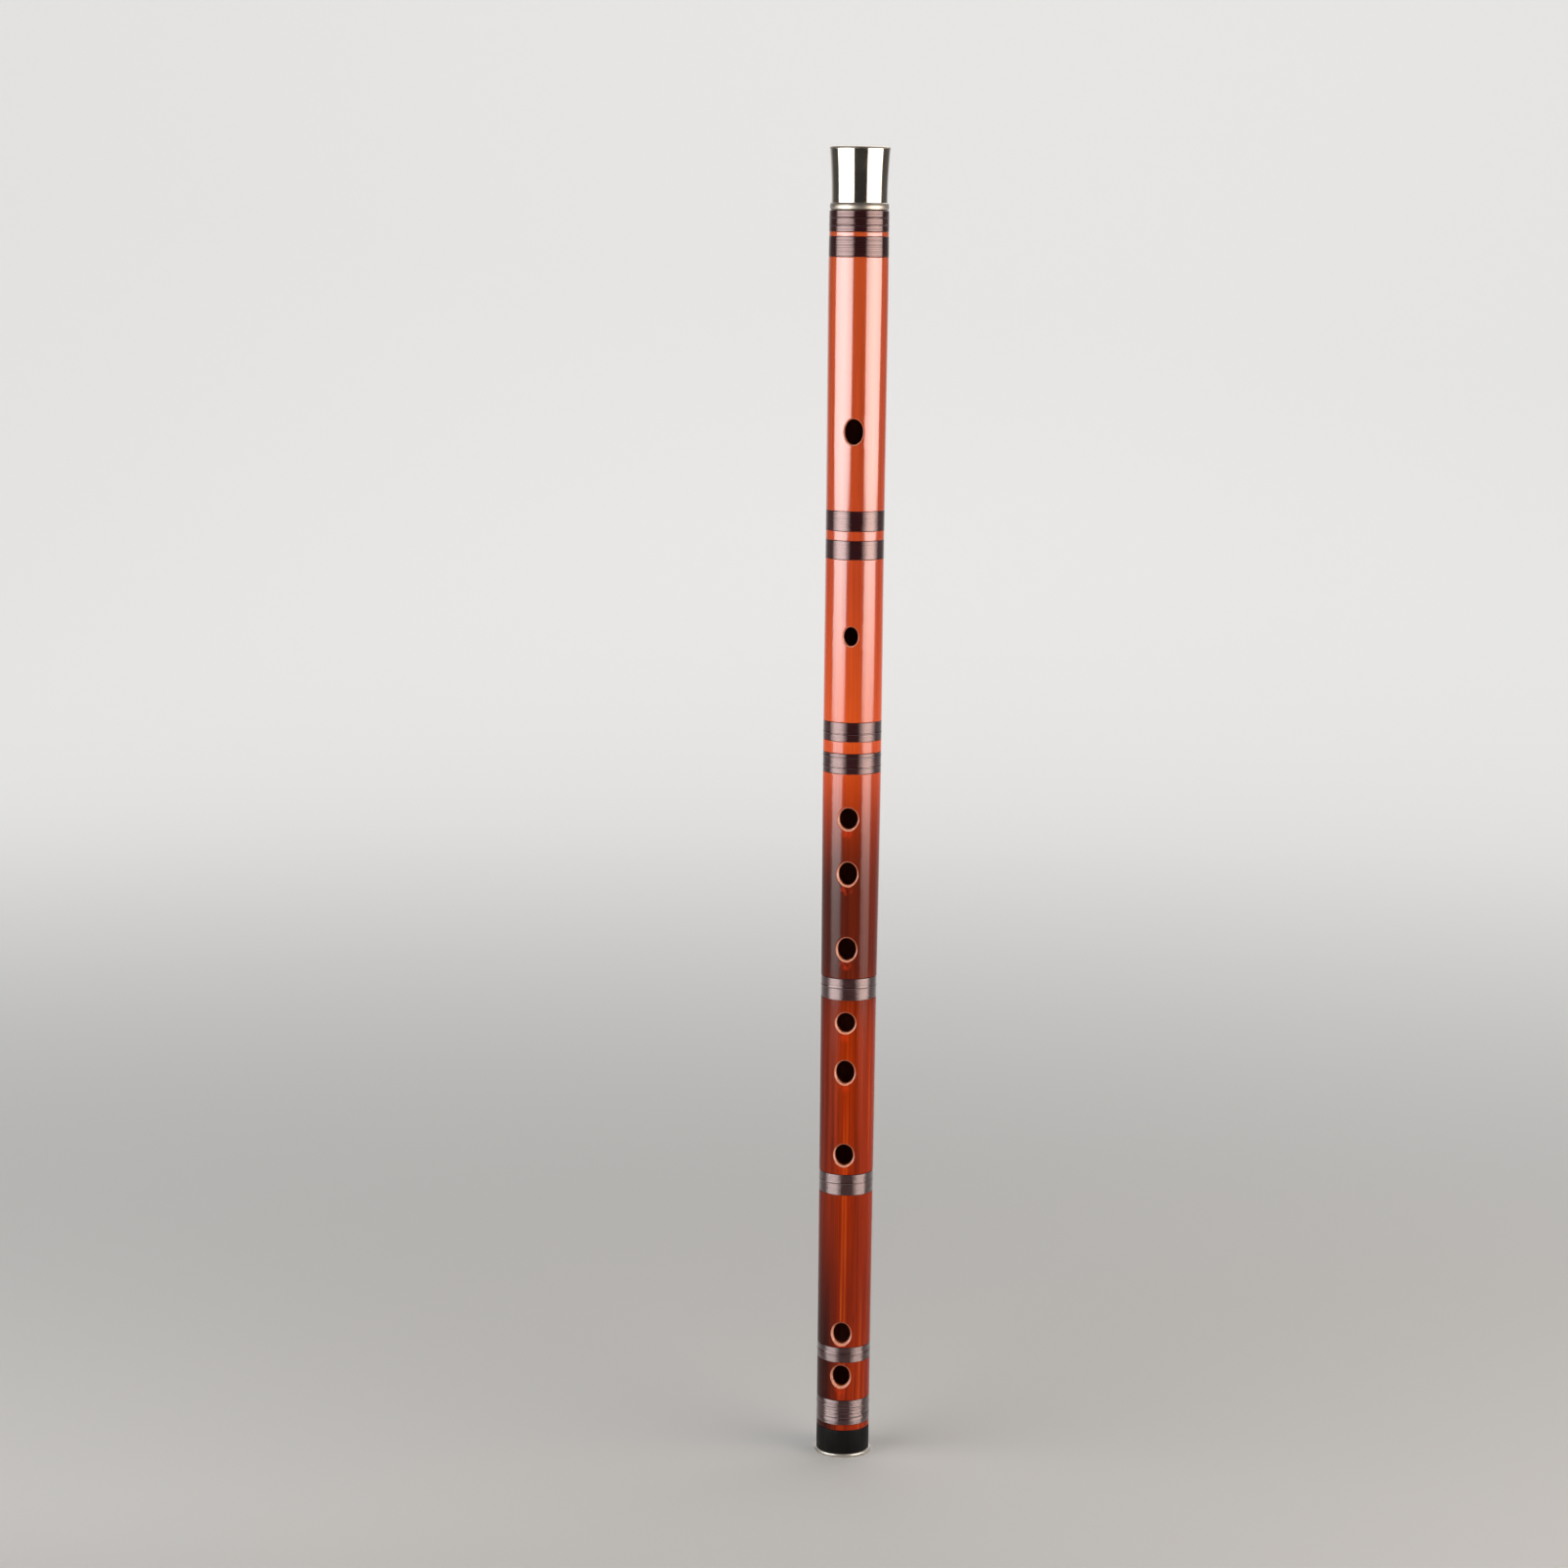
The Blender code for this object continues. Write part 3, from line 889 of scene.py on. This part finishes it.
def thread_winding(name, low, high, material):
    """One winding: unbroken turns of thread, each a thread's width above the last.

    The surface is made of columns of points, one for each step round the flute. The last column
    lies on the first one, one turn further up, and is merged with it there.
    """
    low, high = low + THREAD_END_GAP, high - THREAD_END_GAP
    turns = round((high - low) / THREAD_PITCH)
    pitch = (high - low) / turns
    bm = bmesh.new()
    columns = []
    for step in range(THREAD_COLUMNS + 1):
        angle = math.tau * step / THREAD_COLUMNS
        inner = skin(angle, low) - GROOVE_DEPTH + THREAD_END_GAP
        column = [bm.verts.new(point(inner, angle, low))]
        for row in range(THREAD_ROWS * (turns + 1) + 1):
            turn = row / THREAD_ROWS + step / THREAD_COLUMNS - 1
            height = min(max(low + pitch * turn, low), high)
            number = row // THREAD_ROWS + step / THREAD_COLUMNS
            radius = thread_radius(name, angle, height, row, number, low, high)
            column.append(bm.verts.new(point(radius, angle, height)))
        inner = skin(angle, high) - GROOVE_DEPTH + THREAD_END_GAP
        column.append(bm.verts.new(point(inner, angle, high)))
        columns.append(column)
    for here, there in zip(columns, columns[1:]):
        for n in range(len(here)):
            bm.faces.new((here[n - 1], there[n - 1], there[n], here[n]))
    bmesh.ops.remove_doubles(bm, verts=bm.verts, dist=0.0005)
    name_shown = name.replace("winding", "thread_winding")
    piece = finished(bm, name_shown, "flute", [material], sharp=75.0)
    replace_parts(piece, name)


# Turned pieces


def flared_cap(material):
    """The head cap: a bead, a flaring wall with a rounded rim, and the bore's mouth in its top."""
    bead_middle = CAP_FOOT + CAP_BEAD_HEIGHT / 2
    bead_top = CAP_FOOT + CAP_BEAD_HEIGHT
    flare_top = LENGTH - CAP_RIM_ROUND
    outline = arc(CAP_WAIST_RADIUS, bead_middle, CAP_BEAD_RISE, CAP_BEAD_HEIGHT / 2, -90, 78, 14)
    for n in range(CAP_STEPS + 1):
        share = n / CAP_STEPS
        height = bead_top + CAP_CREASE + share * (flare_top - bead_top - CAP_CREASE)
        outline.append((CAP_WAIST_RADIUS + CAP_FLARE * share**2, height))
    rim_radius = CAP_WAIST_RADIUS + CAP_FLARE - CAP_RIM_ROUND
    outline += arc(rim_radius, flare_top, CAP_RIM_ROUND, CAP_RIM_ROUND, 8, 90, 8)
    outline += arc(MOUTH_RADIUS + MOUTH_EASE, LENGTH - MOUTH_EASE, MOUTH_EASE, MOUTH_EASE, 90, 180, 5)
    outline += [(MOUTH_RADIUS, CAP_CEILING + 0.2), (MOUTH_RADIUS + 0.2, CAP_CEILING)]
    outline += [(CAP_INNER_RADIUS, CAP_CEILING), (CAP_INNER_RADIUS, CAP_FOOT + END_EASE)]
    outline.append((CAP_INNER_RADIUS + END_EASE, CAP_FOOT))
    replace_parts(turned("flared_head_cap", outline, "flute", material), "head_cap")


def horn_ring(material):
    """The black ring round the foot, with softened edges."""
    outline = arc(RING_RADIUS - RING_ROUND, RING_HEAD - RING_ROUND, RING_ROUND, RING_ROUND, 0, 90, 6)
    outline += [(RING_INNER_RADIUS, RING_HEAD), (RING_INNER_RADIUS, RING_FOOT)]
    outline += arc(RING_RADIUS - 0.15, RING_FOOT + 0.15, 0.15, 0.15, -90, 0, 3)
    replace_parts(turned("horn_foot_ring", outline, "flute", material), "foot_ring")


def rounded_lip(material):
    """The bright metal lip that the flute stands on."""
    ease, inside = LIP_EASE, LIP_MOUTH_EASE
    outline = arc(LIP_RADIUS - ease, LIP_HEIGHT - ease, ease, ease, 0, 90, 8)
    outline += arc(MOUTH_RADIUS + inside, LIP_HEIGHT - inside, inside, inside, 90, 180, 4)
    outline += arc(MOUTH_RADIUS + inside, inside, inside, inside, 180, 270, 4)
    outline += arc(LIP_RADIUS - ease, ease, ease, ease, -90, 0, 8)
    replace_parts(turned("rounded_foot_lip", outline, "flute", material), "foot_lip")


def cork(material):
    """The cork in the bore above the mouth hole, slightly uneven, with eased edges."""
    sides, layers = STOPPER_SIDES, STOPPER_LAYERS
    bm = bmesh.new()
    rows = [(share * STOPPER_RADIUS, STOPPER_LOW + rise) for share, rise in STOPPER_EDGE]
    start = STOPPER_EDGE[-1][1]
    span = STOPPER_HIGH - STOPPER_LOW - 2 * start
    rows += [(STOPPER_RADIUS, STOPPER_LOW + start + span * n / layers) for n in range(1, layers)]
    rows += [(share * STOPPER_RADIUS, STOPPER_HIGH - rise) for share, rise in reversed(STOPPER_EDGE)]
    rings = []
    for n, (radius, height) in enumerate(rows):
        ring = []
        for side in range(sides):
            dent = STOPPER_DENT * abs(value_noise(side * 0.61 + n * 7.3, 3))
            dent *= min(1.0, radius / STOPPER_RADIUS)
            ring.append(bm.verts.new(point(radius - dent, math.tau * side / sides, height)))
        rings.append(ring)
    for ring, after in zip(rings, rings[1:]):
        for n in range(sides):
            m = (n + 1) % sides
            bm.faces.new((ring[n], ring[m], after[m], after[n]))
    for ring, height in ((rings[0], STOPPER_LOW), (rings[-1], STOPPER_HIGH)):
        middle = bm.verts.new((0.0, 0.0, height))
        for n in range(sides):
            bm.faces.new((middle, ring[n], ring[(n + 1) % sides]))
    piece = finished(bm, "cork_stopper", "stopper", [material])
    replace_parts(piece, "stopper")


# Stage, light and camera


def seen_share(tree):
    """1 for what the lens, gloss or glass sees directly, and 0 for light on the object."""
    path = make(tree, "ShaderNodeLightPath").outputs
    seen = math_node(tree, "MAXIMUM", path["Is Camera Ray"], path["Is Glossy Ray"])
    return math_node(tree, "MAXIMUM", seen, path["Is Transmission Ray"])


def room_glow(tree, x, y):
    """Whether a direction is off the front (0 to 1), and how pale the far room looks there."""
    turn = math_node(tree, "ARCTAN2", x, times(tree, y, -1.0))
    turn = math_node(tree, "SUBTRACT", turn, math.radians(ROOM_FRONT))
    off_front = math_node(tree, "ABSOLUTE", turn)
    aside = ranged(tree, off_front, math.radians(ROOM_GLOW[0][0]), math.radians(ROOM_GLOW[1][0]))
    stops = [(angle / 180, (glow, glow, glow)) for angle, glow in ROOM_GLOW]
    return aside, ramp(tree, times(tree, off_front, 1 / math.pi), stops)


def stage_material():
    """Pale paper, darker to the front, with a glow behind and beside the flute.

    Only the lens, gloss and glass see the glow, so it throws no light on the object.
    """
    material = bpy.data.materials.new("pale_paper")
    material.use_nodes = True
    tree = material.node_tree
    tree.nodes.remove(tree.nodes["Principled BSDF"])
    place = make(tree, "ShaderNodeTexCoord").outputs["Object"]
    x, y, _ = make(tree, "ShaderNodeSeparateXYZ", {0: place}).outputs
    flat = make(tree, "ShaderNodeCombineXYZ", {0: x, 1: y, 2: 0.0}).outputs[0]
    distance = make(tree, "ShaderNodeVectorMath", {0: flat}, operation="LENGTH").outputs["Value"]
    behind = ranged(tree, distance, *BEHIND_SPAN, BEHIND_START, BACKDROP_GLOW)
    slant = math_node(tree, "MULTIPLY_ADD", y, LEFT_SLANT, x)
    left = ranged(tree, slant, *LEFT_EDGE)
    right = ranged(tree, x, *RIGHT_EDGE, 1.0, 0.0)
    behind = times(tree, behind, left, right, ranged(tree, y, *FRONT_EDGE))
    aside, around = room_glow(tree, x, y)
    rise = ranged(tree, distance, *NEAR_RISE, 0.0, SIDE_GLOW)
    near = times(tree, aside, rise, ranged(tree, distance, *NEAR_FALL, 1.0, NEAR_REST))
    far = times(tree, around, ranged(tree, distance, *FAR_RISE))
    share = math_node(tree, "MAXIMUM", behind, math_node(tree, "MAXIMUM", near, far))
    strength = times(tree, share, seen_share(tree))
    tone = ranged(tree, y, *PAPER_TONE_SPAN, *PAPER_TONES)
    tone = times(tree, tone, ranged(tree, distance, *PAPER_FADE_SPAN, 1.0, 0.0))
    inputs = {0: tone, 1: PAPER_TINT}
    colour = make(tree, "ShaderNodeVectorMath", inputs, operation="MULTIPLY").outputs[0]
    paper = make(tree, "ShaderNodeBsdfDiffuse", {"Color": colour}).outputs[0]
    glow = make(tree, "ShaderNodeEmission", {"Color": GLOW_TINT, "Strength": strength}).outputs[0]
    mixed = make(tree, "ShaderNodeAddShader", {0: paper, 1: glow}).outputs[0]
    tree.links.new(mixed, tree.nodes["Material Output"].inputs[0])
    return material


def stage():
    """One sheet: the floor under the flute, which bends up into a backdrop well behind it."""
    profile = [(y, 0.0) for y in SHEET_FLOOR]
    profile += arc(BEND_START, BEND_RADIUS, BEND_RADIUS, BEND_RADIUS, -90, 0, BEND_STEPS)
    profile.append((BEND_START + BEND_RADIUS, BACKDROP_TOP))
    bm = bmesh.new()
    rails = [[bm.verts.new((x, y, z)) for y, z in profile] for x in SHEET_SIDES]
    for rail, after in zip(rails, rails[1:]):
        for n in range(len(profile) - 1):
            bm.faces.new((rail[n], after[n], after[n + 1], rail[n + 1]))
    mesh = bpy.data.meshes.new("floor_and_backdrop")
    bm.to_mesh(mesh)
    bm.free()
    mesh.shade_smooth()
    mesh.materials.append(stage_material())
    sheet = bpy.data.objects.new("floor_and_backdrop", mesh)
    bpy.context.scene.collection.objects.link(sheet)


def area_light(name, place, target, width, height, radiance, spread):
    """A soft rectangular light of a given radiance that faces a target."""
    light = bpy.data.lights.new(name, "AREA")
    light.shape = "RECTANGLE"
    light.size, light.size_y = width, height
    light.energy = radiance * math.pi * width * height
    light.spread = math.radians(spread)
    lamp = bpy.data.objects.new(name, light)
    lamp.location = place
    lamp.rotation_euler = (Vector(target) - Vector(place)).to_track_quat("-Z", "Y").to_euler()
    lamp.visible_camera = False
    bpy.context.scene.collection.objects.link(lamp)
    return light


def lights():
    """Two tall softboxes in front, a soft light above, and a dim world.

    The lens, gloss and glass see the world as the room's glow instead.
    """
    for part, low, high, share, left, right in STRIP_PARTS:
        for side, (start, end) in (("left", left), ("right", right)):
            turn = math.radians((start + end) / 2)
            place = (STRIP_DISTANCE * math.sin(turn), -STRIP_DISTANCE * math.cos(turn), (low + high) / 2)
            width = 2 * STRIP_DISTANCE * math.tan(math.radians(end - start) / 2)
            target = (0, 0, STRIP_TARGET)
            radiance, colour = STRIP_SIDES[side]
            radiance *= share
            name = f"{side}_strip_{part}"
            light = area_light(name, place, target, width, high - low, radiance, STRIP_SPREAD)
            light.color = colour
    place, target, size = TOP_LIGHT_PLACE, TOP_LIGHT_TARGET, TOP_LIGHT_SIZE
    area_light("top_light", place, target, size, size, TOP_LIGHT_RADIANCE, 180.0)
    world = bpy.data.worlds.new("dim_room")
    world.use_nodes = True
    tree = world.node_tree
    direction = make(tree, "ShaderNodeTexCoord").outputs["Generated"]
    x, y, _ = make(tree, "ShaderNodeSeparateXYZ", {0: direction}).outputs
    _, seen = room_glow(tree, x, y)
    strength = make(tree, "ShaderNodeMix", {0: seen_share(tree), 2: WORLD_RADIANCE, 3: seen}).outputs[0]
    background = tree.nodes["Background"]
    background.inputs["Color"].default_value = GLOW_TINT
    tree.links.new(strength, background.inputs["Strength"])
    bpy.context.scene.world = world


def camera():
    """The photograph's view."""
    turn = math.radians(CAMERA_AZIMUTH)
    pitch, roll = math.radians(CAMERA_PITCH), math.radians(CAMERA_ROLL)
    heading = math.radians(90 + CAMERA_AZIMUTH + CAMERA_YAW)
    level = math.cos(pitch)
    forward = Vector((math.cos(heading) * level, math.sin(heading) * level, -math.sin(pitch)))
    lens = bpy.data.cameras.new("view")
    lens.lens = LENS
    lens.sensor_width = 36.0
    lens.clip_start, lens.clip_end = LENS_REACH
    eye = bpy.data.objects.new("view", lens)
    eye.rotation_mode = "QUATERNION"
    eye.location = (CAMERA_DISTANCE * math.sin(turn), -CAMERA_DISTANCE * math.cos(turn), CAMERA_HEIGHT)
    eye.rotation_quaternion = forward.to_track_quat("-Z", "Y") @ Quaternion((0, 0, 1), roll)
    bpy.context.scene.collection.objects.link(eye)
    bpy.context.scene.camera = eye


def main():
    """Builds the visible flute, its stage, lights and camera."""
    holes = hole_list()
    bands = winding_bands()
    stalk(holes, bands, [lacquered_bamboo(holes), cut_bamboo(), hole_wall(), raw_bamboo()])
    thread = lacquered_thread()
    for name, low, high in bands:
        thread_winding(name, low, high, thread)
    flared_cap(polished_metal("polished_nickel_silver", CAP_TONES, 0.25))
    horn_ring(black_horn())
    rounded_lip(polished_metal("scuffed_nickel_silver", LIP_TONES, 0.5))
    cork(natural_cork())
    stage()
    lights()
    camera()
    bpy.context.scene.view_settings.view_transform = "Standard"


main()
